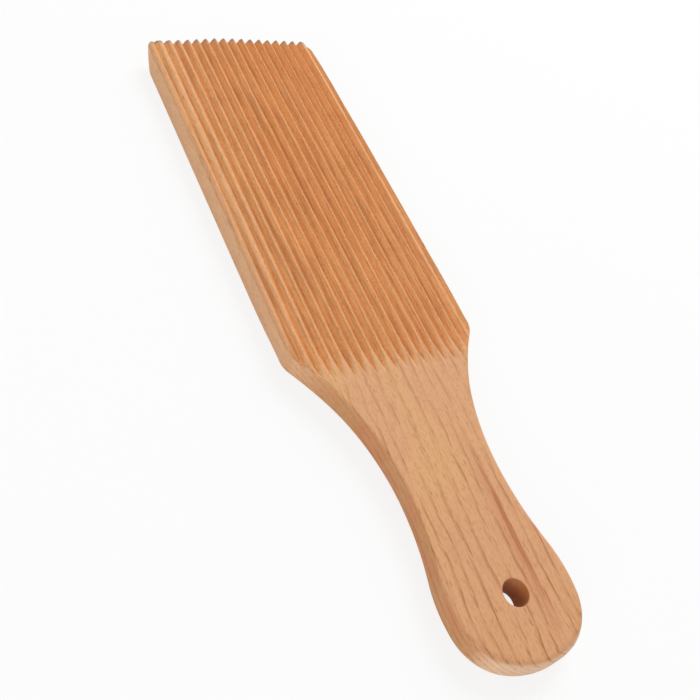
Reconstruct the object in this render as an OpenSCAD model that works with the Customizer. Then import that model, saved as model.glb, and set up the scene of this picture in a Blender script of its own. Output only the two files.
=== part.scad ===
// Gnocchi board: one piece of solid beech, a ridged blade that narrows to a rounded handle
// X runs across the board, Y along it towards the ridged end, Z up from the face that rests

/* [Blade] */
// Overall length, from the handle end to the ridged end
overall_len = 250; // [220:1:300]
// Width of the ridged blade
blade_w = 68; // [60:1:90]
// Thickness of the board
board_t = 9; // [7:0.5:14]
// Radius of the blade's two far corners, seen from above
tip_corner_r = 2.5; // [1.5:0.5:8]
// Length of the under side that sweeps up to the far end
tip_under_len = 9; // [7:0.5:14]
// Radius of the shoulders, where the blade starts to narrow
shoulder_r = 8; // [3:0.5:14]

/* [Handle] */
// Width of the neck at its narrowest
neck_w = 34; // [31:0.5:37]
// Distance from the handle end to the narrowest part of the neck
neck_from_end = 55; // [50:1:70]
// Radius of the sweep from the neck up to each shoulder
throat_r = 85; // [65:1:120]
// Width of the grip at its widest
grip_w = 42; // [38:0.5:46]
// Distance from the handle end to the widest part of the grip
grip_from_end = 21; // [17:0.5:24]
// Radius of the grip's flanks
flank_r = 45; // [38:1:60]
// Radius of the corners between the flanks and the handle's end
heel_corner_r = 17; // [12:0.5:19]
// Radius across the handle's end
heel_r = 27.5; // [24:0.5:34]

/* [Ridges] */
// Number of grooves
groove_count = 18; // [10:2:18]
// Distance from one groove to the next
groove_pitch = 3.75; // [3:0.05:3.8]
// How far the groove field sits to the right of the blade's centre line
groove_shift = 0.65; // [0:0.05:1]
// Depth of the grooves
groove_depth = 1.75; // [1:0.05:2.5]
// Angle between the two flanks of a groove, in degrees
groove_angle = 90; // [70:1:110]
// How far the tips of the grooves run past the shoulders
groove_past_shoulder = 14; // [2:0.5:20]
// Diameter of the cutter head, which shapes the grooves' run-out
cutter_d = 100; // [60:5:160]

/* [Edges and hole] */
// Rounding of the handle's edges, above and below
handle_edge_r = 2.8; // [1:0.1:3.2]
// Rounding of the blade's long edges, above and below
blade_edge_r = 1; // [0.4:0.1:1.4]
// Rounding of the far end's edges, above and below
tip_edge_r = 0.4; // [0.2:0.1:1]
// Length over which the rounding grows from the blade's to the handle's
edge_blend_len = 26; // [10:1:40]
// Diameter of the hanging hole
hole_d = 8; // [5:0.5:12]
// Distance from the handle end to the centre of the hanging hole
hole_from_end = 20; // [14:0.5:28]

/* [Hidden] */
beech = [0.86, 0.65, 0.46];
// How far a straight step of the outline may stray from its arc
arc_error = 0.02;
// Steps in the rounding of an edge
edge_steps = 5;
// Height of the far end's upright strip, between its upper edge and the sweep below
tip_strip = 0.3;
// Half of the angle that the sweep under the far end turns through
under_bend = 19;
// How far a cutting shape reaches past what it cuts
reach = 2;

y_far = overall_len / 2;
y_heel = -overall_len / 2;
y_neck = y_heel + neck_from_end;
y_grip = y_heel + grip_from_end;
x_blade = blade_w / 2;
x_neck = neck_w / 2;
x_grip = grip_w / 2;

// The throat arc touches the neck's narrowest point and the shoulder arc
throat_c = [x_neck + throat_r, y_neck];
shoulder_dx = throat_c.x - (x_blade - shoulder_r);
shoulder_dy = sqrt(pow(throat_r + shoulder_r, 2) - pow(shoulder_dx, 2));
y_shoulder = y_neck + shoulder_dy;
shoulder_turn = atan2(shoulder_dy, shoulder_dx);

// The arc below the neck touches the neck's narrowest point and the flank arc
neck_step = x_grip - x_neck;
neck_drop = y_neck - y_grip;
neck_reach = (pow(neck_step, 2) + pow(neck_drop, 2)) / (2 * neck_step);
lower_neck_r = neck_reach - flank_r;
lower_neck_turn = asin(neck_drop / neck_reach);

// The corner arc touches the flank arc and the heel arc from inside
flank_c = [x_grip - flank_r, y_grip];
heel_c = [0, y_heel + heel_r];
corner_c = lower_meeting(flank_c, flank_r - heel_corner_r, heel_c, heel_r - heel_corner_r);
flank_end = bearing(flank_c, corner_c);
corner_end = bearing(heel_c, corner_c);

// The sweep under the far end: an arc from the upright strip down and back to the resting face
sweep_top = board_t - tip_edge_r - tip_strip;
sweep_chord = norm([tip_under_len, sweep_top]);
sweep_r = sweep_chord / (2 * sin(under_bend));
tip_lean = atan2(tip_under_len, sweep_top) - under_bend;
sweep_c = [y_far - sweep_r * cos(tip_lean), sweep_top + sweep_r * sin(tip_lean)];

// The V grooves: where they stop at full depth, and the height of their floors
half_angle = groove_angle / 2;
cutter_r = cutter_d / 2;
runout_len = sqrt(pow(cutter_r, 2) - pow(cutter_r - groove_depth, 2));
y_groove_tip = y_shoulder - groove_past_shoulder;
y_full_depth = y_groove_tip + runout_len;
groove_ceiling = groove_depth + reach;

function bearing(from, to) = atan2(to.y - from.y, to.x - from.x);

// The crossing of two circles that lies on the right as one looks from a to b, below them
function lower_meeting(a, ra, b, rb) =
    let (
        d = norm(b - a),
        u = (b - a) / d,
        along = (pow(d, 2) + pow(ra, 2) - pow(rb, 2)) / (2 * d),
        aside = sqrt(pow(ra, 2) - pow(along, 2))
    )
    a + along * u + aside * [u.y, -u.x];

// Points along an arc as [place, outward normal]; side is 1 where the arc bulges out and -1 where it bows in
function arc(c, r, from, to, side = 1) =
    let (n = max(2, ceil(abs(to - from) / (2 * acos(1 - arc_error / r)))))
    [for (i = [0:n])
        let (a = from + (to - from) * i / n, u = [cos(a), sin(a)])
        [c + r * u, side * u]];

// Right half of the outline, from the far end round to the handle end
right_half = concat(
    arc([x_blade - tip_corner_r, y_far - tip_corner_r], tip_corner_r, 90, 0),
    arc([x_blade - shoulder_r, y_shoulder], shoulder_r, 0, -shoulder_turn),
    rest(arc(throat_c, throat_r, 180 - shoulder_turn, 180, -1)),
    rest(arc([x_neck + lower_neck_r, y_neck], lower_neck_r, 180, 180 + lower_neck_turn, -1)),
    rest(arc(flank_c, flank_r, lower_neck_turn, flank_end)),
    rest(arc(corner_c, heel_corner_r, flank_end, corner_end)),
    rest(arc(heel_c, heel_r, corner_end, -90))
);

// A list without its first entry, which an arc shares with the one before it
function rest(list) = [for (i = [1:len(list) - 1]) list[i]];

function smooth(t) = let (s = min(1, max(0, t))) s * s * (3 - 2 * s);

// Rounding of the edge at a height y along the board
function edge_r(y) =
    y > y_shoulder
    ? tip_edge_r + (blade_edge_r - tip_edge_r) * smooth((y_far - y) / tip_corner_r)
    : blade_edge_r + (handle_edge_r - blade_edge_r) * smooth((y_shoulder - y) / edge_blend_len);

// Section of the rim at one point of the outline, from the bottom face round to the top face
function rim(at, mirrored) =
    let (
        p = at[0],
        n = at[1],
        r = edge_r(p.y),
        turns = [for (i = [0:edge_steps]) 90 * i / edge_steps],
        lower = [for (a = turns) [r * sin(a) - r, r - r * cos(a)]],
        upper = [for (a = turns) [r * cos(a) - r, board_t - r + r * sin(a)]]
    )
    [for (s = concat(lower, upper))
        [(mirrored ? -1 : 1) * (p.x + n.x * s[0]), p.y + n.y * s[0], s[1]]];

// The blank: rims carried round the outline, closed by a flat face below and above
module blank() {
    stations = len(right_half);
    rim_len = 2 * (edge_steps + 1);
    points = [for (mirrored = [false, true], at = right_half, p = rim(at, mirrored)) p];
    function id(half, i, j) = (half * stations + i) * rim_len + j;
    sides = [for (half = [0, 1], i = [0:stations - 2], j = [0:rim_len - 2])
        let (
            a = id(half, i, j),
            b = id(half, i + 1, j),
            c = id(half, i + 1, j + 1),
            d = id(half, i, j + 1)
        )
        each half == 0 ? [[a, b, c], [a, c, d]] : [[a, c, b], [a, d, c]]];
    far_end = [for (j = [0:rim_len - 2])
        each [[id(0, 0, j), id(1, 0, j + 1), id(1, 0, j)], [id(0, 0, j), id(0, 0, j + 1), id(1, 0, j + 1)]]];
    top = rim_len - 1;
    faces_across = [for (i = [0:stations - 2])
        let (last = i == stations - 2)
        each [
            [id(0, i, top), id(1, i + 1, top), id(1, i, top)],
            if (!last) [id(0, i, top), id(0, i + 1, top), id(1, i + 1, top)],
            [id(0, i, 0), id(1, i, 0), id(1, i + 1, 0)],
            if (!last) [id(0, i, 0), id(1, i + 1, 0), id(0, i + 1, 0)]
        ]];
    polyhedron(points, concat(sides, far_end, faces_across));
}

// Outline of the cutter's teeth as [place across the board, height above the grooves' floor]
function teeth() =
    let (
        first = -(groove_count - 1) / 2 * groove_pitch,
        crest = groove_pitch / 2 / tan(half_angle),
        outer = groove_ceiling * tan(half_angle)
    )
    concat(
        [[first - outer, groove_ceiling]],
        [for (i = [0:groove_count - 1])
            each [
                [first + i * groove_pitch, 0],
                if (i < groove_count - 1) [first + (i + 0.5) * groove_pitch, crest]
            ]],
        [[-first + outer, groove_ceiling]]
    );

// What the cutter takes away: the teeth drawn along the blade, then lifted out round the cutter head
module groove_cut() {
    translate([groove_shift, y_full_depth, board_t - groove_depth]) {
        rotate([90, 0, 180])
            linear_extrude(y_far - y_full_depth + reach)
                polygon(teeth());
        translate([0, 0, cutter_r])
            rotate([0, 90, 0])
                rotate_extrude(angle = -cutter_sweep(), $fn = 240)
                    polygon([for (p = teeth()) [cutter_r - p[1], p[0]]]);
    }
}

// Turn of the cutter head that lifts its teeth clear of the board
function cutter_sweep() = acos((cutter_r - groove_depth - reach / 2) / cutter_r);

// What is shaped away under the far end: all beyond the sweep, from its lowest place outwards
module under_sweep() {
    difference() {
        translate([-x_blade - reach, sweep_c.x, -reach])
            cube([blade_w + 2 * reach, y_far - sweep_c.x + reach, sweep_top + reach]);
        translate([0, sweep_c.x, sweep_c.y])
            rotate([0, 90, 0])
                cylinder(r = sweep_r, h = blade_w + 4 * reach, center = true, $fn = 360);
    }
}

module hanging_hole() {
    translate([0, y_heel + hole_from_end, -reach])
        cylinder(d = hole_d, h = board_t + 2 * reach, $fn = 96);
}

module gnocchi_board() {
    color(beech)
        difference() {
            blank();
            groove_cut();
            under_sweep();
            hanging_hole();
        }
}

gnocchi_board();
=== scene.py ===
"""Gnocchi board: the ridged beech board dressed for a studio picture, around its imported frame."""

import bpy
import numpy as np
from mathutils import Matrix, Vector


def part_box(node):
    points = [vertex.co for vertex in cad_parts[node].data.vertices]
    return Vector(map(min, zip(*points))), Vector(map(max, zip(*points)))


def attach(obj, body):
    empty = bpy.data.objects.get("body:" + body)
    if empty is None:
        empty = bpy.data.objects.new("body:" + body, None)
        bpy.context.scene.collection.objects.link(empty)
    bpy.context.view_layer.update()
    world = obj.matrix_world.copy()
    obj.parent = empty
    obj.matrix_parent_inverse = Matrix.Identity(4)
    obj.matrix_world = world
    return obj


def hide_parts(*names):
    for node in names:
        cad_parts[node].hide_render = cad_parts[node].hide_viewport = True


bl_info = {
    "name": "Gnocchi Board",
    "version": (1, 0, 0),
    "blender": (4, 5, 0),
    "location": "3D View > Sidebar > Gnocchi Board",
    "description": "Models a ridged beech gnocchi board and the studio it is pictured in",
    "category": "Add Mesh",
}

NODE = "gnocchi_board"
MM = 0.001
# How far the floor lies above the resting face, so that the two planes don't meet
FLOOR_LIFT = 0.05 * MM

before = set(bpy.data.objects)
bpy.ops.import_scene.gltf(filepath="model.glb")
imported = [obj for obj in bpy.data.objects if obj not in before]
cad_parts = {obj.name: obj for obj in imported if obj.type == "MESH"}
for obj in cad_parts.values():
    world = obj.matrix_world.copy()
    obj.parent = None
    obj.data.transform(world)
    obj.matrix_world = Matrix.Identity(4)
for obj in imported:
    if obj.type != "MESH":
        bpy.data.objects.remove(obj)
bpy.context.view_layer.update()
LOW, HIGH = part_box(NODE)


def srgb(red, green, blue):
    """A colour read off a screen, 0 to 255, as the linear values that Blender works in."""
    channels = np.array([red, green, blue]) / 255
    low = channels / 12.92
    high = ((channels + 0.055) / 1.055) ** 2.4
    return tuple(float(c) for c in np.where(channels <= 0.04045, low, high))


def length_property(name, description, millimetres):
    """A size property that is written here in millimetres and held in metres."""
    return bpy.props.FloatProperty(
        name=name,
        description=description,
        default=millimetres * MM,
        min=0.0,
        unit="LENGTH",
        precision=5,
    )


def colour_property(name, description, red, green, blue):
    """A colour property whose default is written as screen values."""
    return bpy.props.FloatVectorProperty(
        name=name,
        description=description,
        default=srgb(red, green, blue),
        subtype="COLOR",
        size=3,
        min=0.0,
        max=1.0,
    )


class BoardSizes(bpy.types.PropertyGroup):
    """Sizes of the board's outline, edges and grooves."""

    tip_corner_r: length_property("Far corner radius", "Radius of the blade's far corners, from above", 2.5)
    shoulder_r: length_property("Shoulder radius", "Radius of the shoulders, where the blade narrows", 8.0)
    neck_w: length_property("Neck width", "Width of the neck at its narrowest", 34.0)
    neck_from_end: length_property("Neck place", "Distance from the handle end to the neck", 55.0)
    throat_r: length_property("Throat radius", "Radius of the sweep from the neck to a shoulder", 85.0)
    grip_w: length_property("Grip width", "Width of the grip at its widest", 42.0)
    grip_from_end: length_property("Grip place", "Distance from the handle end to the widest place", 21.0)
    flank_r: length_property("Flank radius", "Radius of the grip's flanks", 45.0)
    heel_corner_r: length_property("Heel corner radius", "Radius of the corners at the handle's end", 17.0)
    heel_r: length_property("Heel radius", "Radius across the handle's end", 27.5)
    handle_edge_r: length_property("Handle edge rounding", "Rounding of the handle's edges", 2.8)
    blade_edge_r: length_property("Blade edge rounding", "Rounding of the blade's long edges", 1.0)
    tip_edge_r: length_property("Far edge rounding", "Rounding of the far end's edges", 0.4)
    crisp_handle_r: length_property(
        "Crisp handle edge", "Rounding of the handle's upper edge, left and at its end", 0.6
    )
    heel_edge_r: length_property(
        "Heel edge rounding", "Rounding of the upper edge round the handle's end", 2.0
    )
    crisp_blade_r: length_property("Crisp blade edge", "Rounding of the blade's upper right edge", 0.45)
    tip_under_len: length_property(
        "Sweep length", "Length of the under side that sweeps up to the far end", 9.0
    )
    under_bend: bpy.props.FloatProperty(
        name="Sweep bend",
        description="Half of the angle that the sweep under the far end turns through",
        default=float(np.radians(19)),
        subtype="ANGLE",
    )
    tip_strip: length_property(
        "Upright strip", "Height of the far end's upright strip, above the sweep", 0.3
    )
    edge_blend_len: length_property("Edge blend", "Length over which the rounding grows", 26.0)
    hole_d: length_property("Hole diameter", "Diameter of the hanging hole", 8.0)
    hole_from_end: length_property("Hole place", "Distance from the handle end to the hole's centre", 20.0)
    hole_rim_r: length_property("Hole rim rounding", "Rounding of the hanging hole's rims", 0.35)
    groove_count: bpy.props.IntProperty(name="Grooves", description="Number of grooves", default=18, min=2)
    groove_pitch: length_property("Groove pitch", "Distance from one groove to the next", 3.75)
    groove_shift: length_property(
        "Groove shift", "How far the groove field sits to the right of the middle", 0.65
    )
    groove_depth: length_property("Groove depth", "Depth of the grooves", 1.75)
    groove_angle: bpy.props.FloatProperty(
        name="Groove angle",
        description="Angle between the flanks of a groove",
        default=float(np.radians(90)),
        subtype="ANGLE",
    )
    groove_past_shoulder: length_property(
        "Groove run-out", "How far the groove tips run past the shoulders", 14.0
    )
    cutter_d: length_property("Cutter diameter", "Diameter of the head that shapes the run-out", 100.0)
    crest_softness: length_property("Crest softness", "Size of the easing along the ridges' crests", 0.16)
    valley_softness: length_property("Valley softness", "Size of the easing along the grooves' floors", 0.1)
    crest_wear: length_property("Crest wear", "Most that a ridge is worn or chipped below its crest", 0.12)
    shoulder_ease: length_property("Shoulder ease", "Extra rounding under the left shoulder", 1.3)
    left_sanding: length_property("Left sanding", "How far sanding lowered the left edge's ridges", 0.9)
    right_sanding: length_property("Right sanding", "How far sanding lowered the right edge's ridges", 0.03)
    corner_sanding: length_property("Corner sanding", "Extra sanding at the right far corner", 0.3)
    sanding_reach: length_property(
        "Sanding reach", "Distance from an edge over which its sanding fades", 4.5
    )
    shallow_right: length_property("Shallow right", "How much shallower the rightmost groove is", 0.8)
    shallow_left: length_property("Shallow left", "How much shallower the leftmost grooves are", 0.45)
    end_fall: length_property("End fall", "How far the worn left half of the far end falls back", 2.4)
    corner_fall: length_property(
        "Corner fall", "How far the worn right corner of the far end falls back", 4.6
    )


class BeechColours(bpy.types.PropertyGroup):
    """Colours of the beech, and the size of its growth rings."""

    face: colour_property("Face", "Sanded faces of the board", 223, 169, 117)
    rosy: colour_property("Rosy wood", "Broad rosy patches in the faces", 221, 164, 119)
    ring: colour_property("Ring line", "Dark line at the end of each year's growth", 178, 112, 66)
    fleck: colour_property("Fleck", "Short dark flecks along the grain", 152, 94, 55)
    side: colour_property("Side", "Paler wood of the blade's long sides", 225, 177, 134)
    flank: colour_property("Flank", "Darker wood of the handle's sides", 206, 155, 108)
    red_flank: colour_property("Red flank", "Redder patches of the handle's sides", 210, 146, 102)
    cut: colour_property("Cut", "Wood laid open by the groove cutter", 240, 174, 111)
    warm_cut: colour_property("Warm cut", "Redder patches of the cut wood", 237, 166, 101)
    # Painted light: this tone makes the grooves' floors and the cut wood at the near right paler, in place of
    # light reaching them; it also gives the grain's pale bands.
    pale_grain_and_floor_light: colour_property("Deep cut", "Fresh pale wood at the grooves' floors", 243, 173, 111)
    # Multiplied over the blade's middle for its darker heart wood, and over the far right as painted shade.
    heart_and_far_shade: colour_property(
        "Heart cut", "Tint of the darker wood in the middle of the blade", 251, 238, 222
    )
    crest: colour_property("Crest", "Rubbed crests of the ridges", 233, 172, 114)
    burnish: colour_property(
        "Burnished edge", "Blade's upper right edge, darkened by the hand", 140, 92, 52
    )
    heart: colour_property("Heart streak", "Reddish streak that runs through the handle", 186, 114, 70)
    bore: colour_property("Bore", "Wall of the drilled hole", 190, 122, 72)
    # Painted light: the handle's end grain is paler than the wood, in place of light on that face; its pores
    # and rings are the wood's own.
    end: colour_property(
        "End grain", "Handle's end, where the grain is cut across and sanded pale", 244, 206, 172
    )
    far_end: colour_property(
        "Far end grain", "Far end, where the saw left the end grain darker", 186, 136, 102
    )
    tip: colour_property("Tips", "Ends of the ridges, grey from use", 170, 142, 126)
    ring_gap: length_property("Ring spacing", "Distance between growth lines across the face", 4.2)
    ring_depth: length_property("Ring depth", "Distance between growth lines down the sides", 2.3)
    ring_slant: bpy.props.FloatProperty(
        name="Ring slant",
        description="How far a growth line drifts sideways for each step along the board",
        default=0.05,
    )


class StudioSettings(bpy.types.PropertyGroup):
    """Camera, floor and light."""

    camera_place: bpy.props.FloatVectorProperty(
        name="Camera place",
        description="Where the camera stands",
        default=(-0.160258, -0.150759, 0.218933),
        subtype="TRANSLATION",
        unit="LENGTH",
    )
    camera_target: bpy.props.FloatVectorProperty(
        name="Camera target",
        description="The point at the middle of the picture",
        default=(-0.010913, -0.018131, 0.0045),
        subtype="TRANSLATION",
        unit="LENGTH",
    )
    camera_roll: bpy.props.FloatProperty(
        name="Camera roll",
        description="Turn of the camera about its line of sight",
        default=float(np.radians(30.909)),
        subtype="ANGLE",
    )
    focal_length: bpy.props.FloatProperty(
        name="Focal length",
        description="Focal length on a 36 mm square frame, in mm",
        default=48.707,
        min=1.0,
    )
    floor_size: bpy.props.FloatProperty(
        name="Floor size", description="Side of the square floor", default=6.0, min=1.0, unit="LENGTH"
    )
    floor: colour_property("Floor", "Plain white floor", 250, 250, 250)
    sky: bpy.props.FloatProperty(
        name="Sky", description="Strength of the even light from all round", default=0.4
    )
    key: bpy.props.FloatProperty(
        name="Key", description="Power of the high lamp at the right and back", default=20.0
    )
    low_key: bpy.props.FloatProperty(
        name="Low key", description="Power of the low lamp at the right", default=11.2
    )
    fill: bpy.props.FloatProperty(
        name="Fill", description="Power of the low lamp at the left", default=12.6
    )


def arc(centre, radius, start, stop, step, side=1):
    """Points along an arc and their outward normals.

    A point is centre + radius * (cos a, sin a) with a from start to stop in steps of about step metres.
    The normal is (cos a, sin a) on a bulging arc and the reverse on a hollow one.
    """
    count = max(3, int(np.ceil(abs(stop - start) * radius / step)) + 1)
    angle = np.linspace(start, stop, count)
    unit = np.stack([np.cos(angle), np.sin(angle)], axis=1)
    return np.array(centre) + radius * unit, side * unit


def circle_crossing(a, radius_a, b, radius_b):
    """The crossing of two circles that lies to the right as one looks from a to b."""
    a, b = np.array(a), np.array(b)
    apart = np.linalg.norm(b - a)
    unit = (b - a) / apart
    along = (apart**2 + radius_a**2 - radius_b**2) / (2 * apart)
    aside = np.sqrt(radius_a**2 - along**2)
    return a + along * unit + aside * np.array([unit[1], -unit[0]])


def bearing(start, stop):
    """Direction from start to stop as an angle."""
    return np.arctan2(stop[1] - start[1], stop[0] - start[0])


def smooth(t):
    """Ease from 0 to 1: 3 t^2 - 2 t^3, held flat outside that range."""
    t = np.clip(t, 0, 1)
    return t * t * (3 - 2 * t)


def eased(value, low, high):
    """0 below low, 1 above high, and an eased rise between them. The two may be the other way round."""
    return smooth((value - low) / (high - low))


class Outline:
    """Right half of the board's outline: a chain of tangent arcs, from the far corner to the handle end."""

    def __init__(self, sizes):
        self.sizes = sizes
        half_blade = HIGH.x
        half_neck, half_grip = sizes.neck_w / 2, sizes.grip_w / 2
        far, heel = HIGH.y, LOW.y
        neck, grip = heel + sizes.neck_from_end, heel + sizes.grip_from_end

        throat_centre = (half_neck + sizes.throat_r, neck)
        across = throat_centre[0] - (half_blade - sizes.shoulder_r)
        along = np.sqrt((sizes.throat_r + sizes.shoulder_r) ** 2 - across**2)
        self.shoulder = neck + along
        turn = np.arctan2(along, across)

        step, drop = half_grip - half_neck, neck - grip
        reach = (step**2 + drop**2) / (2 * step)
        lower_r, lower_turn = reach - sizes.flank_r, np.arcsin(drop / reach)

        flank_centre = (half_grip - sizes.flank_r, grip)
        heel_centre = (0, heel + sizes.heel_r)
        flank_gap, heel_gap = sizes.flank_r - sizes.heel_corner_r, sizes.heel_r - sizes.heel_corner_r
        corner_centre = circle_crossing(flank_centre, flank_gap, heel_centre, heel_gap)
        flank_stop = bearing(flank_centre, corner_centre)
        corner_stop = bearing(heel_centre, corner_centre)

        corner_r = sizes.tip_corner_r
        fine, middle, coarse = 0.33 * MM, 0.8 * MM, 1.5 * MM
        side_count = int((far - corner_r - self.shoulder) / MM)
        side_y = np.linspace(far - corner_r, self.shoulder, side_count)
        side = np.stack([np.full(side_count, half_blade), side_y], axis=1)
        chain = [
            arc((half_blade - corner_r, far - corner_r), corner_r, np.pi / 2, 0, fine),
            (side, np.tile([1.0, 0.0], (side_count, 1))),
            arc((half_blade - sizes.shoulder_r, self.shoulder), sizes.shoulder_r, 0, -turn, fine),
            arc(throat_centre, sizes.throat_r, np.pi - turn, np.pi, middle, -1),
            arc((half_neck + lower_r, neck), lower_r, np.pi, np.pi + lower_turn, coarse, -1),
            arc(flank_centre, sizes.flank_r, lower_turn, flank_stop, coarse),
            arc(corner_centre, sizes.heel_corner_r, flank_stop, corner_stop, middle),
            arc(heel_centre, sizes.heel_r, corner_stop, -np.pi / 2, middle),
        ]
        self.places = np.concatenate([chain[0][0]] + [places[1:] for places, _ in chain[1:]])
        self.normals = np.concatenate([chain[0][1]] + [normals[1:] for _, normals in chain[1:]])

    def edge_r(self, y):
        """Rounding of the edge: the blade's, growing to the handle's below the shoulders."""
        sizes = self.sizes
        far = smooth((HIGH.y - y) / sizes.tip_corner_r)
        near = smooth((self.shoulder - y) / sizes.edge_blend_len)
        blade = sizes.tip_edge_r + (sizes.blade_edge_r - sizes.tip_edge_r) * far
        return blade + (sizes.handle_edge_r - sizes.blade_edge_r) * near

    def upper_r(self, x, y):
        """Rounding of the upper edge.

        Little sanding left it crisper than the lower one along the left of the handle and round its end, and
        along the right of the blade up to where the far corner is worn.
        """
        sizes = self.sizes
        usual = self.edge_r(y)
        near = smooth((self.shoulder - y) / sizes.edge_blend_len)
        at_heel = eased(y, LOW.y + 17 * MM, LOW.y + 5 * MM)
        crisp = sizes.crisp_handle_r + (sizes.heel_edge_r - sizes.crisp_handle_r) * at_heel
        left = usual + (crisp - sizes.handle_edge_r) * near
        above_shoulder = eased(y, self.shoulder, self.shoulder + 16 * MM)
        unworn = (1 - near) * eased(y, 100 * MM, 60 * MM) * above_shoulder
        right = usual + (sizes.crisp_blade_r - sizes.blade_edge_r) * unworn
        blended = left + (right - left) * eased(x, 0, 14 * MM)
        right = np.where(y < self.shoulder, blended, right)
        return np.where(x < 0, left, right)


def soft_max(a, b, softness):
    """The larger of two heights, with an eased crease: (a + b + sqrt((a - b)^2 + softness^2)) / 2."""
    return (a + b + np.sqrt((a - b) ** 2 + softness**2)) / 2


class Grooves:
    """Depth of the grooves below the board's face, at any point of it."""

    def __init__(self, sizes, shoulder):
        self.sizes = sizes
        radius = sizes.cutter_d / 2
        runout = np.sqrt(radius**2 - (radius - sizes.groove_depth) ** 2)
        self.full_depth = shoulder - sizes.groove_past_shoulder + runout
        self.outermost = (sizes.groove_count - 1) / 2 * sizes.groove_pitch

    def from_floor(self, x):
        """Signed distance across the board from the nearest groove's floor."""
        pitch = self.sizes.groove_pitch
        x = x - self.sizes.groove_shift
        index = np.clip(np.round((x + self.outermost) / pitch), 0, self.sizes.groove_count - 1)
        return x - (index * pitch - self.outermost)

    def depth(self, x, y):
        """How far the cutter reaches below the face, and below zero where it passes above it.

        A tooth at a distance s from its tip has the radius R - s / tan(half angle). Where the cutter lifts
        out, it leaves depth - R + sqrt(radius^2 - past^2), and past is how far a point lies beyond the full
        depth. The outermost grooves are a little shallower.
        """
        sizes = self.sizes
        head = sizes.cutter_d / 2
        aside = np.sqrt(self.from_floor(x) ** 2 + sizes.valley_softness**2) - sizes.valley_softness
        tooth = head - aside / np.tan(sizes.groove_angle / 2)
        past = np.maximum(0, self.full_depth - y)
        lifted = np.sqrt(np.maximum(tooth**2 - past**2, 0))
        left = sizes.shallow_left * eased(x, -20 * MM, -32 * MM) * eased(y, -20 * MM, 40 * MM)
        right = sizes.shallow_right * eased(x, 30.7 * MM, 32.3 * MM)
        return sizes.groove_depth - head + lifted - left - right

    def sanded(self, x, y, from_side):
        """How far sanding lowered the face near the blade's long edges.

        It fades as exp(-distance / reach) from the left edge, twice as fast from the right one, and is deeper
        at the right far corner.
        """
        sizes = self.sizes
        left = sizes.left_sanding * np.exp(-from_side / sizes.sanding_reach)
        corner = sizes.corner_sanding * eased(y, HIGH.y - 14 * MM, HIGH.y)
        right = (sizes.right_sanding + corner) * np.exp(-2 * from_side / sizes.sanding_reach)
        return np.where(x < 0, left, right)

    def wear(self, x, y):
        """Small chips and rubbed places along each crest.

        The depth is crest_wear * w^2 * exp(-d^2). Here w is the sum of three sine waves along the ridge, from
        slow to quick, over its largest value and no less than 0. d is the distance from the crest in crest
        widths. The waves' phases turn from ridge to ridge.
        """
        sizes = self.sizes
        pitch = sizes.groove_pitch
        crest_width = 0.16 * pitch
        x = x - sizes.groove_shift
        ridge = np.round(x / pitch)
        off_crest = (x - ridge * pitch) / crest_width
        phase = ridge * 2.4 + 0.7 * np.sin(ridge * 5.1)
        heights, per_mm, phase_turns = (1.0, 0.8, 0.6), (0.31, 0.83, 1.9), (3.1, 5.3, 7.7)
        waves = sum(
            height * np.sin(y / MM * quick + phase * turn)
            for height, quick, turn in zip(heights, per_mm, phase_turns)
        )
        return sizes.crest_wear * np.clip(waves / sum(heights), 0, 1) ** 2 * np.exp(-(off_crest**2))


def column_places(sizes, left, right):
    """Places across the blade at which the mesh has a line: each floor and crest, and lines between them.

    The shares say how far a line lies from its groove's floor, in pitches. They crowd where the flanks turn.
    """
    pitch = sizes.groove_pitch
    outermost = (sizes.groove_count - 1) / 2 * pitch
    shares = np.array([0, 0.03, 0.09, 0.26, 0.41, 0.455, 0.485]) * pitch
    around = np.concatenate([-shares[:0:-1], shares])
    floors = np.arange(sizes.groove_count) * pitch - outermost + sizes.groove_shift
    crests = floors[:-1] + pitch / 2
    lines = np.concatenate([(floors[:, None] + around).ravel(), crests])
    inside = lines[(lines > left) & (lines < right)]
    return np.unique(np.round(np.concatenate([inside, [left, right]]), 9))


def squeeze(columns, half_width, full_half_width, margin):
    """Fits the columns into a narrower row.

    Those near the middle keep their place, so that they stay on the ridges. The rest are drawn together
    evenly in the margin along the edge: inner + (place - inner) * margin / (full half width - inner).
    """
    inner = half_width - margin
    size = np.abs(columns)
    outer = inner + (size - inner) * margin / (full_half_width - inner)
    return np.sign(columns) * np.where(size > inner, outer, size)


def worn_back(x, sizes):
    """How far the worn end line falls back: an eased step to the left corner and a short one at the right."""
    left = sizes.end_fall * eased(x, 0, -28 * MM)
    right = sizes.corner_fall * eased(x, 31.2 * MM, 34.2 * MM)
    return left + right


def shape_far_end(vertices, sizes):
    """Draws the far end back to its real form, by moving points along the board.

    Below its upright strip the end follows an arc: y = centre + sqrt(radius^2 - (height above centre)^2).
    All of it is worn back. Each shift fades to nothing over the last part of the blade, and there the right
    edge draws in a little too.
    """
    reach, narrowing = 24 * MM, 0.012
    x, y, z = vertices.T
    top = HIGH.z - LOW.z - sizes.tip_edge_r - sizes.tip_strip
    radius = np.hypot(sizes.tip_under_len, top) / (2 * np.sin(sizes.under_bend))
    lean = np.arctan2(sizes.tip_under_len, top) - sizes.under_bend
    centre_y, centre_z = HIGH.y - radius * np.cos(lean), top + radius * np.sin(lean)
    arc_y = centre_y + np.sqrt(radius**2 - (centre_z - np.minimum(z, top)) ** 2)
    near_end = np.clip((y - HIGH.y + reach) / reach, 0, 1)
    narrowed = narrowing * smooth(x / HIGH.x) * near_end
    drawn_back = HIGH.y - arc_y + worn_back(x, sizes)
    return np.column_stack([x * (1 - narrowed), y - drawn_back * near_end, z])


def tube(rings):
    """Four-sided faces that join each closed ring of points to the next."""
    return np.concatenate(
        [
            np.stack([ring, np.roll(ring, -1), np.roll(following, -1), following], axis=-1)
            for ring, following in zip(rings[:-1], rings[1:])
        ]
    )


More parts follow.
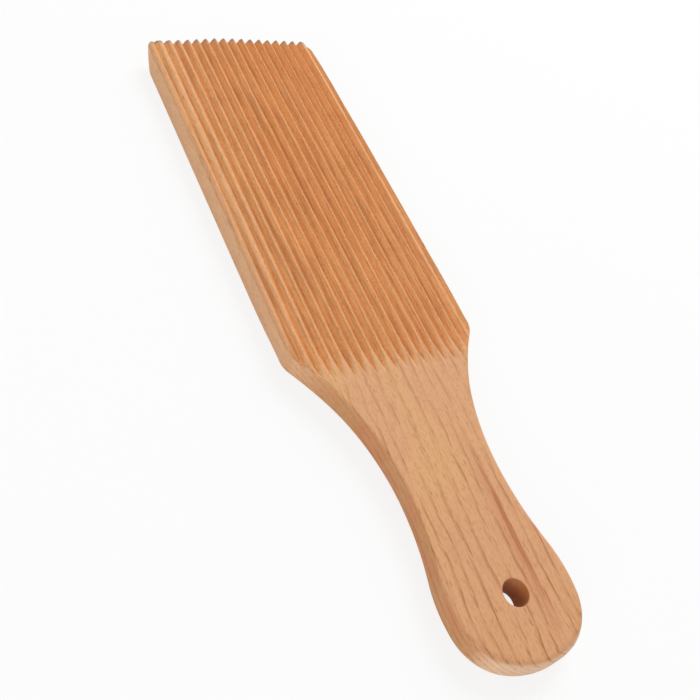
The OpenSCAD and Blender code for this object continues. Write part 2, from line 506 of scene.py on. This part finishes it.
class Board:
    """The undrilled board as one closed surface.

    Its upper face is a grid: rows across the board from edge to edge, columns along the ridges. Rims carry
    the grid's border down to the lower face: a quarter round, a straight wall and another quarter round. One
    more rim lies in the lower face and keeps it flat to the eye.
    """

    def __init__(self, sizes):
        self.sizes = sizes
        self.outline = Outline(sizes)
        self.grooves = Grooves(sizes, self.outline.shoulder)
        self.thickness = HIGH.z - LOW.z
        self.groove_tip = self.outline.shoulder - sizes.groove_past_shoulder

    def height(self, x, y, drop):
        """Height of the grooved face at a place that the edge's rounding lowers by drop."""
        tip, chain = self.groove_tip, self.outline.places[::-1]
        from_side = np.maximum(np.interp(y, chain[:, 1], chain[:, 0]) - np.abs(x), 0)
        land = drop + self.grooves.sanded(x, y, from_side) * eased(y, tip, tip + 25 * MM)
        deep = soft_max(self.grooves.depth(x, y), land, self.sizes.crest_softness)
        worn = self.grooves.wear(x, y) * (y > tip) * (drop < 0.5 * MM)
        return self.thickness - np.maximum(deep, land) - worn

    def grid(self):
        """Places of the upper face's points, in a row for each step of the outline.

        A row ends where the edges' rounding begins on either side. On the blade its points keep to the ridges
        and are squeezed only in a narrow margin. Down the handle the margin grows to the whole row.
        """
        sizes, outline, tip = self.sizes, self.outline, self.groove_tip
        edge_margin = 2.5 * MM
        full = HIGH.x - np.array([sizes.blade_edge_r, sizes.crisp_blade_r])
        columns = column_places(sizes, -full[0], full[1])
        halves = []
        for side, full_half in zip((-1, 1), full):
            rounding = outline.upper_r(side * outline.places[:, 0], outline.places[:, 1])
            inner = (outline.places - rounding[:, None] * outline.normals)[:-1]
            plain = eased(inner[:, 1], tip, tip - 30 * MM)
            margin = edge_margin + (inner[:, 0] - edge_margin) * plain
            halves.append((inner, squeeze(columns[None, :], inner[:, :1], full_half, margin[:, None])))
        (left, left_x), (right, right_x) = halves
        x = np.where(columns < 0, left_x, right_x)
        across = (x + left[:, :1]) / (left[:, :1] + right[:, :1])
        return x, left[:, 1:] + (right[:, 1:] - left[:, 1:]) * across

    def border(self, far_x):
        """Places and outward normals round the border: along the far end, down the right side to the handle's
        end and up the left side."""
        far_places = np.stack([far_x, np.full(len(far_x), HIGH.y)], axis=1)
        far_normals = np.tile([0.0, 1.0], (len(far_x), 1))
        flip = np.array([-1.0, 1.0])
        chains = ((far_places, self.outline.places), (far_normals, self.outline.normals))
        return [np.concatenate([far, chain[1:], (chain[1:-1] * flip)[::-1]]) for far, chain in chains]

    def rims(self, places, normals):
        """Rims from the upper face's border down to the lower face.

        A point of a quarter round lies r (1 - cos a) in from the outline and r (1 - sin a) from the face.
        Under the left shoulder the lower r grows by ease * exp(-(distance from the shoulder / 12 mm)^2).
        """
        upper_r = self.outline.upper_r(places[:, 0], places[:, 1])
        from_shoulder = (places[:, 1] - self.outline.shoulder) / (12 * MM)
        ease = self.sizes.shoulder_ease * (places[:, 0] < 0) * np.exp(-(from_shoulder**2))
        lower_r = self.outline.edge_r(places[:, 1]) + ease
        rims = []
        for turn in np.radians([75, 60, 45, 30, 15, 0]):
            place = places + normals * (upper_r * (np.cos(turn) - 1))[:, None]
            height = self.height(place[:, 0], place[:, 1], upper_r * (1 - np.sin(turn)))
            rims.append(np.column_stack([place, height]))
        wall_top = rims[-1][:, 2]
        for share in (0.963, 0.85, 0.7, 0.55, 0.4, 0.25, 0.12):
            rims.append(np.column_stack([places, lower_r + share * (wall_top - lower_r)]))
        for turn in np.radians([0, 15, 30, 45, 60, 75, 90]):
            place = places + normals * (lower_r * (np.cos(turn) - 1))[:, None]
            rims.append(np.column_stack([place, lower_r * (1 - np.sin(turn))]))
        face_rim = 0.6 * MM
        rims.append(rims[-1] - np.column_stack([normals * face_rim, np.zeros(len(lower_r))]))
        return rims

    def surface(self):
        """Vertices and faces of the whole surface. A fan closes the grid at the handle's end."""
        x, y = self.grid()
        rows, cols = x.shape
        face = np.stack([x, y, self.height(x, y, np.zeros_like(x))], axis=-1).reshape(-1, 3)
        pole = np.array([[0.0, LOW.y + self.sizes.heel_edge_r, self.thickness]])
        rims = self.rims(*self.border(x[0]))

        index = np.arange(rows * cols).reshape(rows, cols)
        border = np.concatenate([index[0], index[1:, -1], [rows * cols], index[:0:-1, 0]])
        first = rows * cols + 1
        rings = [border] + [first + n * len(border) + np.arange(len(border)) for n in range(len(rims))]
        corners = [index[1:, :-1], index[1:, 1:], index[:-1, 1:], index[:-1, :-1]]
        top = np.stack(corners, axis=-1).reshape(-1, 4)
        fan = np.stack([np.full(cols - 1, rows * cols), index[-1, 1:], index[-1, :-1]], axis=-1)
        faces = top.tolist() + fan.tolist() + tube(rings).tolist() + [rings[-1].tolist()]
        return np.concatenate([face, pole] + rims), faces


def board_mesh(sizes):
    """The undrilled board's mesh, and its grooves, which the finish follows."""
    board = Board(sizes)
    vertices, faces = board.surface()
    vertices = shape_far_end(vertices, sizes)
    vertices[:, 2] += LOW.z
    mesh = bpy.data.meshes.new("board")
    mesh.from_pydata(vertices.tolist(), [], faces)
    mesh.validate()
    return mesh, board.grooves


def spool_mesh(radius, rim_r, low, high, reach):
    """What the drill takes out: a profile turned about the hole's axis.

    It runs straight through the board and is flared by a quarter round at both faces. A point is
    (r cos a, r sin a, z) for each pair of profile and turn.
    """
    turn = np.linspace(np.pi / 2, 0, 6)
    flare_r = radius + rim_r * (1 - np.sin(turn))
    flare_z = rim_r * (1 - np.cos(turn))
    profile_r = np.concatenate([[flare_r[-1]], flare_r[::-1], flare_r, [flare_r[-1]]])
    profile_z = np.concatenate([[low - reach], (low + flare_z)[::-1], high - flare_z, [high + reach]])
    order = np.argsort(profile_z, kind="stable")
    profile_r, profile_z = profile_r[order], profile_z[order]
    angle = np.linspace(0, 2 * np.pi, 96, endpoint=False)
    ring = np.stack([np.cos(angle), np.sin(angle)], axis=1)
    layers = [np.column_stack([r * ring, np.full(len(angle), z)]) for r, z in zip(profile_r, profile_z)]
    index = np.arange(len(layers) * len(angle)).reshape(len(layers), len(angle))
    faces = tube(index).tolist() + [index[0][::-1].tolist(), index[-1].tolist()]
    mesh = bpy.data.meshes.new("drill")
    mesh.from_pydata(np.concatenate(layers).tolist(), [], faces)
    return mesh


def add_object(name, mesh):
    """Links a mesh into the scene as a new object at the origin."""
    obj = bpy.data.objects.new(name, mesh)
    bpy.context.scene.collection.objects.link(obj)
    return obj


def drill(board, sizes):
    """Cuts the hanging hole through the board and keeps the result as its mesh."""
    spool = spool_mesh(sizes.hole_d / 2, sizes.hole_rim_r, LOW.z, HIGH.z, 2 * MM)
    spool.transform(Matrix.Translation((0, LOW.y + sizes.hole_from_end, 0)))
    cutter = add_object("drill", spool)
    modifier = board.modifiers.new("drill", "BOOLEAN")
    modifier.operation = "DIFFERENCE"
    modifier.solver = "EXACT"
    modifier.object = cutter
    evaluated = board.evaluated_get(bpy.context.evaluated_depsgraph_get())
    drilled = bpy.data.meshes.new_from_object(evaluated)
    board.modifiers.clear()
    board.data = drilled
    bpy.data.objects.remove(cutter)


def mark_cut(mesh, grooves):
    """Writes for the finish three values from 0 to 1 at each point.

    cut is the depth in a groove below the sanded face, 1 at a floor. tip is how near the point is to the worn
    end line. ridged is 1 on the ridged field and falls to 0 before the grooves run out.
    """
    places, normals = np.empty((2, len(mesh.vertices) * 3), np.float32)
    mesh.vertices.foreach_get("co", places)
    mesh.vertex_normals.foreach_get("vector", normals)
    x, y, z = places.reshape(-1, 3).T
    upward = eased(normals.reshape(-1, 3)[:, 2], 0.3, 0.6)
    deep = (HIGH.z - z - grooves.sanded(x, y, HIGH.x - np.abs(x))) / grooves.sizes.groove_depth
    inside = eased(grooves.depth(x, y), -0.15 * MM, 0.15 * MM)
    from_end = HIGH.y - worn_back(x, grooves.sizes) - y
    values = {
        "cut": np.clip(deep * inside * upward, 0, 1),
        "tip": eased(from_end, 1.9 * MM, 0.9 * MM),
        "ridged": eased(y, grooves.full_depth - 10 * MM, grooves.full_depth - 2 * MM) * upward,
    }
    for name, value in values.items():
        attribute = mesh.attributes.new(name, "FLOAT", "POINT")
        attribute.data.foreach_set("value", value.astype(np.float32))


class NodeTree:
    """Short names for building the nodes of a material or a world."""

    def __init__(self, owner):
        owner.use_nodes = True
        self.tree = owner.node_tree
        self.tree.nodes.clear()

    def node(self, kind, inputs=None, **settings):
        """A new node with its settings. Its inputs are numbers, colours or other nodes' outputs."""
        made = self.tree.nodes.new(kind)
        for key, value in settings.items():
            setattr(made, key, value)
        for key, value in (inputs or {}).items():
            if isinstance(value, bpy.types.NodeSocket):
                self.tree.links.new(value, made.inputs[key])
            else:
                made.inputs[key].default_value = value
        return made

    def math(self, operation, first, second=0.0, third=0.0):
        """One step of arithmetic."""
        return self.node("ShaderNodeMath", {0: first, 1: second, 2: third}, operation=operation).outputs[0]

    def product(self, first, *others):
        """All the values multiplied together."""
        for other in others:
            first = self.math("MULTIPLY", first, other)
        return first

    def plus(self, total, value, share):
        """total + value * share."""
        return self.math("MULTIPLY_ADD", value, share, total)

    def vector(self, operation, first, second, output=0):
        """One step of arithmetic on two vectors."""
        return self.node("ShaderNodeVectorMath", {0: first, 1: second}, operation=operation).outputs[output]

    def separate(self, vector):
        """The three parts of a vector."""
        return tuple(self.node("ShaderNodeSeparateXYZ", {0: vector}).outputs)

    def attribute(self, name):
        """A value that the mesh carries at its points."""
        return self.node("ShaderNodeAttribute", attribute_name=name).outputs["Fac"]

    def noise(self, place, scale, detail=2.0, roughness=0.5, along=1.0, down=1.0):
        """Noise with scale cells to the metre. A factor under 1 draws it out along the board or downwards."""
        if (along, down) != (1.0, 1.0):
            place = self.vector("MULTIPLY", place, (1.0, along, down))
        inputs = {"Vector": place, "Scale": scale, "Detail": detail, "Roughness": roughness}
        return self.node("ShaderNodeTexNoise", inputs).outputs[0]

    def seen(self):
        """1 on the rays by which the camera, a gloss or a glass sees a surface, and 0 on the others."""
        rays = self.node("ShaderNodeLightPath").outputs
        seen = self.math("MAXIMUM", rays["Is Camera Ray"], rays["Is Glossy Ray"])
        return self.math("MAXIMUM", seen, rays["Is Transmission Ray"])

    def ramp(self, value, low, high):
        """0 below low, 1 above high, and an eased rise between them. The two may be the other way round."""
        inputs = {"Value": value, "From Min": low, "From Max": high, "To Min": 0.0, "To Max": 1.0}
        return self.node("ShaderNodeMapRange", inputs, clamp=True, interpolation_type="SMOOTHSTEP").outputs[0]

    def mix(self, factor, first, second, blend="MIX"):
        """The first colour, taken to the second by a factor."""
        inputs = {0: factor}
        for key, value in ((6, first), (7, second)):
            inputs[key] = value if isinstance(value, bpy.types.NodeSocket) else (*value, 1.0)
        return self.node("ShaderNodeMix", inputs, data_type="RGBA", blend_type=blend).outputs[2]

    def tint(self, colour, target, *shares):
        """A colour taken towards the target by the product of the shares."""
        return self.mix(self.product(*shares), colour, target)


def growth_lines(nodes, place, colours):
    """Growth lines, 0 to 1.

    The year's number is x / spacing + z / depth, less the slant, plus slow waves along the board and a slow
    sine across it, which makes the years wax and wane. Its fraction darkens towards the end of the year, then
    drops.
    """
    gap = colours.ring_gap
    years_per_metre = (1 / gap, -colours.ring_slant / gap, 1 / colours.ring_depth)
    year = nodes.vector("DOT_PRODUCT", place, years_per_metre, "Value")
    waxing = nodes.math("SINE", nodes.vector("DOT_PRODUCT", place, (240.0, 0.0, 420.0), "Value"))
    waves = nodes.noise(place, 55.0, along=0.7, down=1.6)
    jitter = nodes.noise(place, 620.0, along=0.3)
    for wave, size in ((waxing, 0.2), (waves, 1.1), (jitter, 0.16)):
        year = nodes.plus(year, wave, size)
    late = nodes.math("FRACT", year)
    streaks = nodes.noise(place, 1500.0, detail=3.0, roughness=0.65, along=0.09)
    fading = nodes.noise(place, 140.0, detail=1.0, along=0.4)
    line = nodes.product(nodes.ramp(late, 0.58, 0.9), nodes.ramp(late, 1.0, 0.95))
    return nodes.product(line, nodes.ramp(streaks, 0.34, 0.6), nodes.ramp(fading, 0.24, 0.54))


def dashes(nodes, place, width, stretch, amount):
    """Short dashes along the grain, 0 to 1.

    A cell pattern is stretched along the grain, and each cell may hold one dash at its middle. The cell's own
    random colour picks which do.
    """
    stretched = nodes.vector("MULTIPLY", place, (1.0, 1 / stretch, 1.0))
    cells = nodes.node("ShaderNodeTexVoronoi", {"Vector": stretched, "Scale": 0.17 / width}).outputs
    chosen = nodes.ramp(nodes.separate(cells["Color"])[0], 1.0 - amount, 1.02 - amount)
    return nodes.product(nodes.ramp(cells["Distance"], 0.17, 0.06), chosen)


class Wood:
    """What the beech's colours depend on at a point: its place, its facing, the grain and the grooves."""

    def __init__(self, nodes, colours):
        self.nodes, self.colours = nodes, colours
        texture = nodes.node("ShaderNodeTexCoord").outputs
        self.place = texture["Object"]
        self.x, self.y, self.z = nodes.separate(self.place)
        self.facing_x, self.facing_y, _ = nodes.separate(texture["Normal"])
        self.cut, self.tip, self.ridged = (nodes.attribute(name) for name in ("cut", "tip", "ridged"))
        self.rings = growth_lines(nodes, self.place, colours)
        self.edgewise = nodes.ramp(nodes.math("ABSOLUTE", self.facing_x), 0.78, 0.97)
        # Rises towards the far right corner: it places painted shade there and fades the grooves' grain.
        self.far_right = nodes.ramp(nodes.plus(self.x, self.y, 0.35), 30 * MM, 62 * MM)
        self.fibres = nodes.noise(self.place, 1700.0, detail=4.0, roughness=0.7, along=0.09)
        self.pits = nodes.noise(self.place, 1900.0, roughness=0.6, along=0.3)
        narrow = dashes(nodes, self.place, 0.2 * MM, 6.0, 0.5)
        wide = dashes(nodes, self.place, 0.3 * MM, 5.0, 0.3)
        self.flecks = nodes.math("MAXIMUM", narrow, wide)
        self.pores = nodes.ramp(nodes.noise(self.place, 5200.0, detail=1.0, along=0.1), 0.56, 0.7)

    def heart_streak(self):
        """A reddish streak in the upper handle, 0 to 1.

        It follows x = 9.7 mm + 0.045 t - 0.4 t^2 / m, with t the distance from a point below the throat,
        and is strongest in the grip.
        """
        nodes, y = self.nodes, self.y
        along = nodes.math("ADD", y, 69 * MM)
        middle = nodes.math("MULTIPLY_ADD", nodes.product(along, along), -0.4, 9.7 * MM)
        middle = nodes.plus(middle, along, 0.045)
        waves = nodes.noise(self.place, 120.0, along=0.3)
        middle = nodes.plus(middle, nodes.math("SUBTRACT", waves, 0.5), 4 * MM)
        aside = nodes.math("SUBTRACT", self.x, middle)
        core = nodes.product(nodes.ramp(aside, 1.3 * MM, 0.5 * MM), nodes.ramp(aside, -1.2 * MM, -0.3 * MM))
        halo = nodes.product(nodes.ramp(aside, 1.6 * MM, 0.4 * MM), nodes.ramp(aside, -6.0 * MM, -0.5 * MM))
        fibres = nodes.noise(self.place, 1100.0, detail=3.0, along=0.06)
        streak = nodes.plus(nodes.product(core, nodes.ramp(fibres, 0.3, 0.62)), halo, 0.45)
        in_grip = nodes.product(nodes.ramp(y, -124 * MM, -96 * MM), nodes.ramp(y, -52 * MM, -80 * MM))
        strength = nodes.math("MULTIPLY_ADD", in_grip, 0.8, 0.05)
        in_handle = nodes.product(nodes.ramp(y, -26 * MM, -40 * MM), nodes.ramp(self.z, 2 * MM, 6 * MM))
        return nodes.product(streak, strength, in_handle)

    def heart_wood(self):
        """Darker wood in the grooves, 0 to 1.

        It is a band along the middle of the blade that widens to the right towards the far end, broken into
        long streaks by a noise that is drawn out along the grain.
        """
        nodes, x, y = self.nodes, self.x, self.y
        right_side = nodes.ramp(nodes.plus(x, y, -0.35), 30 * MM, -25 * MM)
        grown = nodes.product(nodes.ramp(x, -17 * MM, -3 * MM), right_side, nodes.ramp(y, -8 * MM, 30 * MM))
        streaks = nodes.ramp(nodes.noise(self.place, 420.0, detail=3.0, along=0.05), 0.36, 0.6)
        streaked = nodes.math("MULTIPLY_ADD", streaks, 0.6, 0.2)
        return nodes.product(grown, streaked, self.ridged)

    def sanded_faces(self):
        """The faces and sides: rosy patches, growth lines and the reddish streak. The lines are calmer on the
        handle's upper part and along the blade's sides."""
        nodes, colours, y = self.nodes, self.colours, self.y
        patches = nodes.noise(self.place, 85.0, roughness=0.45, along=0.35)
        rosy = nodes.ramp(nodes.plus(patches, nodes.ramp(y, -62 * MM, -108 * MM), 0.3), 0.42, 0.66)
        colour = nodes.mix(rosy, colours.face, colours.rosy)
        on_blade = nodes.ramp(y, -34 * MM, -14 * MM)
        stained = nodes.ramp(nodes.noise(self.place, 190.0, along=0.5), 0.36, 0.64)
        flank = nodes.mix(stained, colours.flank, colours.red_flank)
        colour = nodes.mix(self.edgewise, colour, nodes.mix(on_blade, flank, colours.side))
        calm = nodes.math("MULTIPLY_ADD", nodes.product(self.edgewise, on_blade), -0.55, 0.88)
        calm = nodes.plus(calm, nodes.ramp(y, -86 * MM, -62 * MM), -0.24)
        calm = nodes.plus(calm, nodes.ramp(y, -60 * MM, -40 * MM), -0.1)
        calm = nodes.math("MAXIMUM", calm, 0.0)
        colour = nodes.tint(colour, colours.ring, self.rings, calm)
        return nodes.tint(colour, colours.heart, self.heart_streak(), 0.9)

    def laid_open(self):
        """Wood in the grooves: warm patches, floors paled by painted light, painted light over the near
        right, dark and pale bands and fine threads along the grain. The bands and threads are fainter at the
        far right."""
        nodes, colours, place = self.nodes, self.colours, self.place
        warm = nodes.ramp(nodes.noise(place, 130.0, detail=3.0, along=0.45), 0.45, 0.68)
        bands = nodes.noise(place, 270.0, along=0.07)
        threads = nodes.noise(place, 1150.0, detail=4.0, roughness=0.62, along=0.035)
        varied = nodes.math("MULTIPLY_ADD", self.far_right, -0.75, 1.0)
        near_right_light = nodes.product(nodes.ramp(self.x, -6 * MM, 22 * MM), nodes.ramp(self.y, 70 * MM, 10 * MM))
        colour = nodes.mix(warm, colours.cut, colours.warm_cut)
        # Painted light: the deeper the cut, the paler the wood, lifting the grooves' floors.
        colour = nodes.tint(colour, colours.pale_grain_and_floor_light, nodes.ramp(self.cut, 0.3, 1.0))
        colour = nodes.tint(colour, colours.ring, nodes.ramp(bands, 0.5, 0.68), varied, 0.3)
        colour = nodes.tint(colour, colours.pale_grain_and_floor_light, nodes.ramp(bands, 0.5, 0.32), varied, 0.3)
        # Painted light: the cut wood at the near right is lifted paler.
        colour = nodes.tint(colour, colours.pale_grain_and_floor_light, near_right_light, 0.8)
        colour = nodes.tint(colour, colours.ring, nodes.ramp(threads, 0.46, 0.62), varied, 0.48)
        return nodes.tint(colour, colours.ring, self.rings, 0.24)

    def ridged_field(self, colour):
        """Lays the grooves' wood, the rubbed crests, the darker heart wood, painted shade over the far right
        ridges and their crests, the burnished upper right edge and the grey ridge tips over the faces'
        colour."""
        nodes, colours = self.nodes, self.colours
        inside_left = nodes.ramp(self.x, -33 * MM, -29 * MM)
        crests = nodes.product(nodes.ramp(self.cut, 0.16, 0.02), self.ridged, inside_left)
        # Painted shade: the crests at the far right are picked out to be dimmed.
        far_crest_shade = nodes.product(crests, self.far_right)
        rubbed = nodes.plus(crests, far_crest_shade, -0.8)
        colour = nodes.tint(colour, self.laid_open(), nodes.ramp(self.cut, 0.02, 0.25), 0.92)
        colour = nodes.tint(colour, colours.crest, rubbed, 0.55)
        # Painted shade: the ridged field darkens towards the far right.
        far_right_shade = nodes.product(self.far_right, self.ridged, 0.7)
        darkened = nodes.math("MAXIMUM", self.heart_wood(), far_right_shade)
        colour = nodes.mix(darkened, colour, colours.heart_and_far_shade, blend="MULTIPLY")
        # Painted shade: the far right crests are darkened towards the ring colour.
        colour = nodes.tint(colour, colours.ring, far_crest_shade, 0.3)
        upper = nodes.ramp(self.z, 7.4 * MM, 8.2 * MM)
        outer = nodes.product(nodes.ramp(self.facing_x, 0.25, 0.6), nodes.ramp(self.x, 32.6 * MM, 33.4 * MM))
        colour = nodes.tint(colour, colours.burnish, outer, upper, 0.75)
        return nodes.tint(colour, colours.tip, self.tip, nodes.ramp(self.cut, 0.75, 0.35), 0.8)

    def fine_grain(self, colour):
        """Lays the fibres, the pits and the short dark flecks over the colour."""
        nodes, colours = self.nodes, self.colours
        colour = nodes.tint(colour, colours.ring, nodes.ramp(self.fibres, 0.45, 0.7), 0.3)
        colour = nodes.tint(colour, colours.ring, nodes.ramp(self.pits, 0.5, 0.72), 0.34)
        shown = nodes.product(nodes.ramp(self.cut, 0.7, 0.05), nodes.ramp(self.edgewise, 1.2, 0.0))
        return nodes.tint(colour, colours.fleck, self.flecks, shown, 0.55)

    def cut_ends(self, colour, sizes):
        """Lays the pored end grain over both ends, the handle's end paled by painted light, and the bore's
        wall round the hole's axis.
        """
        nodes, colours = self.nodes, self.colours
        # Painted light: the handle's end takes the pale end colour; the far end takes its darker one.
        ends = nodes.mix(nodes.ramp(self.y, -20 * MM, 20 * MM), colours.end, colours.far_end)
        ends = nodes.tint(ends, colours.fleck, self.pores, 0.3)
        ends = nodes.tint(ends, colours.ring, self.rings, 0.45)
        endwise = nodes.ramp(nodes.math("ABSOLUTE", self.facing_y), 0.4, 0.8)
        colour = nodes.tint(colour, ends, endwise, 0.85)
        flat = nodes.vector("MULTIPLY", self.place, (1.0, 1.0, 0.0))
        axis = (0.0, LOW.y + sizes.hole_from_end, 0.0)
        from_axis = nodes.vector("DISTANCE", flat, axis, "Value")
        bored = nodes.ramp(from_axis, sizes.hole_d / 2 + 0.25 * MM, sizes.hole_d / 2 + 0.02 * MM)
        wall = nodes.mix(nodes.product(self.pores, 0.3), colours.bore, colours.fleck)
        return nodes.tint(colour, wall, bored, 0.9)

    def relief(self):
        """Height of the finish for the bump: fibres stand up, and flecks, pits and growth lines are sunk. The
        cutter left the grooves gritty."""
        nodes = self.nodes
        height = nodes.plus(self.fibres, self.pits, -0.8)
        height = nodes.plus(height, self.flecks, -0.9)
        height = nodes.plus(height, self.rings, -0.5)
        return nodes.plus(height, nodes.noise(self.place, 2400.0), nodes.product(self.cut, 0.8))


def beech_material(colours, sizes):
    """Bare sanded beech: growth lines and short flecks along the grain, broad rosy patches, a reddish
    streak in the handle, warmer wood in the grooves, rubbed crests, pored end grain and a darker drilled
    bore. Painted light pales the grooves' floors, the near right's cut wood and the handle's end, and
    painted shade darkens the ridges at the far right."""
    material = bpy.data.materials.new("beech")
    nodes = NodeTree(material)
    wood = Wood(nodes, colours)
    colour = wood.fine_grain(wood.ridged_field(wood.sanded_faces()))
    colour = wood.cut_ends(colour, sizes)
    bump = nodes.node("ShaderNodeBump", {"Strength": 0.4, "Distance": 0.12 * MM, "Height": wood.relief()})
    surface = {
        "Base Color": colour,
        "Roughness": 0.62,
        "IOR": 1.45,
        "Specular IOR Level": 0.3,
        "Normal": bump.outputs[0],
    }
    principled = nodes.node("ShaderNodeBsdfPrincipled", surface)
    nodes.node("ShaderNodeOutputMaterial", {"Surface": principled.outputs[0]})
    return material


def floor_material(colour):
    """Plain white floor. The camera sees most of it as its own white light, so that it is white and still
    takes the shadow. It has an upper side only, so that it doesn't hide the resting face from below."""
    own_light = 0.82
    material = bpy.data.materials.new("floor")
    nodes = NodeTree(material)
    plain = nodes.node("ShaderNodeBsdfDiffuse", {"Color": (*colour, 1.0)}).outputs[0]
    glow = nodes.node("ShaderNodeEmission", {"Color": (1.0, 1.0, 1.0, 1.0), "Strength": 1.0}).outputs[0]
    bright = nodes.node("ShaderNodeMixShader", {0: own_light, 1: plain, 2: glow}).outputs[0]
    shader = nodes.node("ShaderNodeMixShader", {0: nodes.seen(), 1: plain, 2: bright}).outputs[0]
    underneath = nodes.node("ShaderNodeNewGeometry").outputs["Backfacing"]
    nothing = nodes.node("ShaderNodeBsdfTransparent").outputs[0]
    shader = nodes.node("ShaderNodeMixShader", {0: underneath, 1: shader, 2: nothing}).outputs[0]
    nodes.node("ShaderNodeOutputMaterial", {"Surface": shader})
    return material


def aim(obj, place, target, roll=0.0):
    """Places an object and points its -Z axis at the target, turned about that line by roll."""
    place, target = Vector(place), Vector(target)
    turn = (target - place).to_track_quat("-Z", "Y").to_matrix().to_4x4()
    obj.matrix_world = Matrix.Translation(place) @ turn @ Matrix.Rotation(roll, 4, "Z")


def add_lamp(name, place, size, power):
    """A square soft lamp that points at the board."""
    light = bpy.data.lights.new(name, "AREA")
    light.shape = "SQUARE"
    light.size = size
    light.energy = power
    lamp = bpy.data.objects.new(name, light)
    bpy.context.scene.collection.objects.link(lamp)
    aim(lamp, place, (0, 0, 0))


class GNOCCHI_OT_board(bpy.types.Operator):
    """Model the ridged beech board"""

    bl_idname = "gnocchi.board"
    bl_label = "Board"
    bl_options = {"REGISTER", "UNDO"}

    def execute(self, context):
        sizes = context.scene.gnocchi_sizes
        mesh, grooves = board_mesh(sizes)
        board = add_object("ridged_board", mesh)
        drill(board, sizes)
        mark_cut(board.data, grooves)
        board.data.shade_smooth()
        board.data.set_sharp_from_angle(angle=float(np.radians(38)))
        board.data.materials.append(beech_material(context.scene.gnocchi_colours, sizes))
        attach(board, "root")
        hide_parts(NODE)
        return {"FINISHED"}


class GNOCCHI_OT_stage(bpy.types.Operator):
    """Set up the white floor, the soft light and the camera"""

    bl_idname = "gnocchi.stage"
    bl_label = "Stage"
    bl_options = {"REGISTER", "UNDO"}

    def execute(self, context):
        scene = context.scene
        studio = scene.gnocchi_studio
        side = studio.floor_size / 2
        level = LOW.z + FLOOR_LIFT
        corners = [(-side, -side, level), (side, -side, level), (side, side, level), (-side, side, level)]
        mesh = bpy.data.meshes.new("floor")
        mesh.from_pydata(corners, [], [(0, 1, 2, 3)])
        mesh.materials.append(floor_material(tuple(studio.floor)))
        add_object("floor", mesh)

        world = bpy.data.worlds.new("studio")
        nodes = NodeTree(world)
        strength = nodes.math("MULTIPLY_ADD", nodes.seen(), 1.0 - studio.sky, studio.sky)
        sky = nodes.node("ShaderNodeBackground", {"Color": (1.0, 1.0, 1.0, 1.0), "Strength": strength})
        nodes.node("ShaderNodeOutputWorld", {"Surface": sky.outputs[0]})
        scene.world = world
        add_lamp("key", (1.0, 1.0, 1.414), 1.0, studio.key)
        add_lamp("low_key", (1.328, 1.328, 0.684), 1.0, studio.low_key)
        add_lamp("fill", (-1.5, -1.0, 0.84), 1.0, studio.fill)

        camera = bpy.data.objects.new("camera", bpy.data.cameras.new("camera"))
        scene.collection.objects.link(camera)
        camera.data.sensor_fit = "HORIZONTAL"
        camera.data.sensor_width = 36.0
        camera.data.lens = studio.focal_length
        camera.data.clip_start = 0.01
        aim(camera, studio.camera_place, studio.camera_target, studio.camera_roll)
        scene.camera = camera
        scene.view_settings.view_transform = "Standard"
        return {"FINISHED"}


class GNOCCHI_PT_sidebar(bpy.types.Panel):
    """Lists the pieces of the picture and their settings."""

    bl_idname = "GNOCCHI_PT_sidebar"
    bl_label = "Gnocchi Board"
    bl_space_type = "VIEW_3D"
    bl_region_type = "UI"
    bl_category = "Gnocchi Board"

    def draw(self, context):
        layout = self.layout
        for operator in (GNOCCHI_OT_board, GNOCCHI_OT_stage):
            layout.operator(operator.bl_idname)
        scene = context.scene
        for group in (scene.gnocchi_sizes, scene.gnocchi_colours, scene.gnocchi_studio):
            column = layout.column(align=True)
            for key in group.__annotations__:
                column.prop(group, key)


CLASSES = (BoardSizes, BeechColours, StudioSettings, GNOCCHI_OT_board, GNOCCHI_OT_stage, GNOCCHI_PT_sidebar)


def register():
    for cls in CLASSES:
        bpy.utils.register_class(cls)
    bpy.types.Scene.gnocchi_sizes = bpy.props.PointerProperty(type=BoardSizes)
    bpy.types.Scene.gnocchi_colours = bpy.props.PointerProperty(type=BeechColours)
    bpy.types.Scene.gnocchi_studio = bpy.props.PointerProperty(type=StudioSettings)


def unregister():
    del bpy.types.Scene.gnocchi_studio
    del bpy.types.Scene.gnocchi_colours
    del bpy.types.Scene.gnocchi_sizes
    for cls in reversed(CLASSES):
        bpy.utils.unregister_class(cls)


def main():
    """Builds the picture."""
    register()
    bpy.ops.gnocchi.board()
    bpy.ops.gnocchi.stage()


if __name__ == "__main__":
    main()
